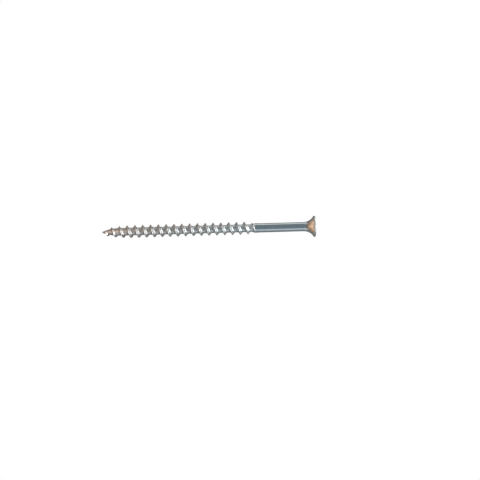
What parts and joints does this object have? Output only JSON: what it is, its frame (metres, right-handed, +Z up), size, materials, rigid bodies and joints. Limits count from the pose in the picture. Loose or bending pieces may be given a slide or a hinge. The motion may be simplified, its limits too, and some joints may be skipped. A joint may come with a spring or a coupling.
{
  "type": "wood screw",
  "caption": "Countersunk wood screw with a curved bugle head, a cross recess, a plain shank, a coarse right-hand thread and a self-piercing point, in bright zinc-plated steel.",
  "frame": {"origin": "centre of the head's flat top face, where the driver meets the screw and which ends up flush with the timber", "axes": "+X along the screw's axis, out of the head towards the driver, so the tip points to -X; +Z up as the screw lies level; +Y completes the right-handed frame. The wings of the cross recess lie along Y and Z"},
  "size_m": [0.1, 0.0098, 0.0098],
  "materials": {
    "zinc_plated_steel": "bright blue-white zinc plating on cold-formed steel, semi-gloss, with fine drawing and rolling marks"
  },
  "bodies": {
    "root": {"head": "zinc_plated_steel", "shank": "zinc_plated_steel", "core": "zinc_plated_steel", "thread": "zinc_plated_steel", "point": "zinc_plated_steel"}
  },
  "joints": []
}
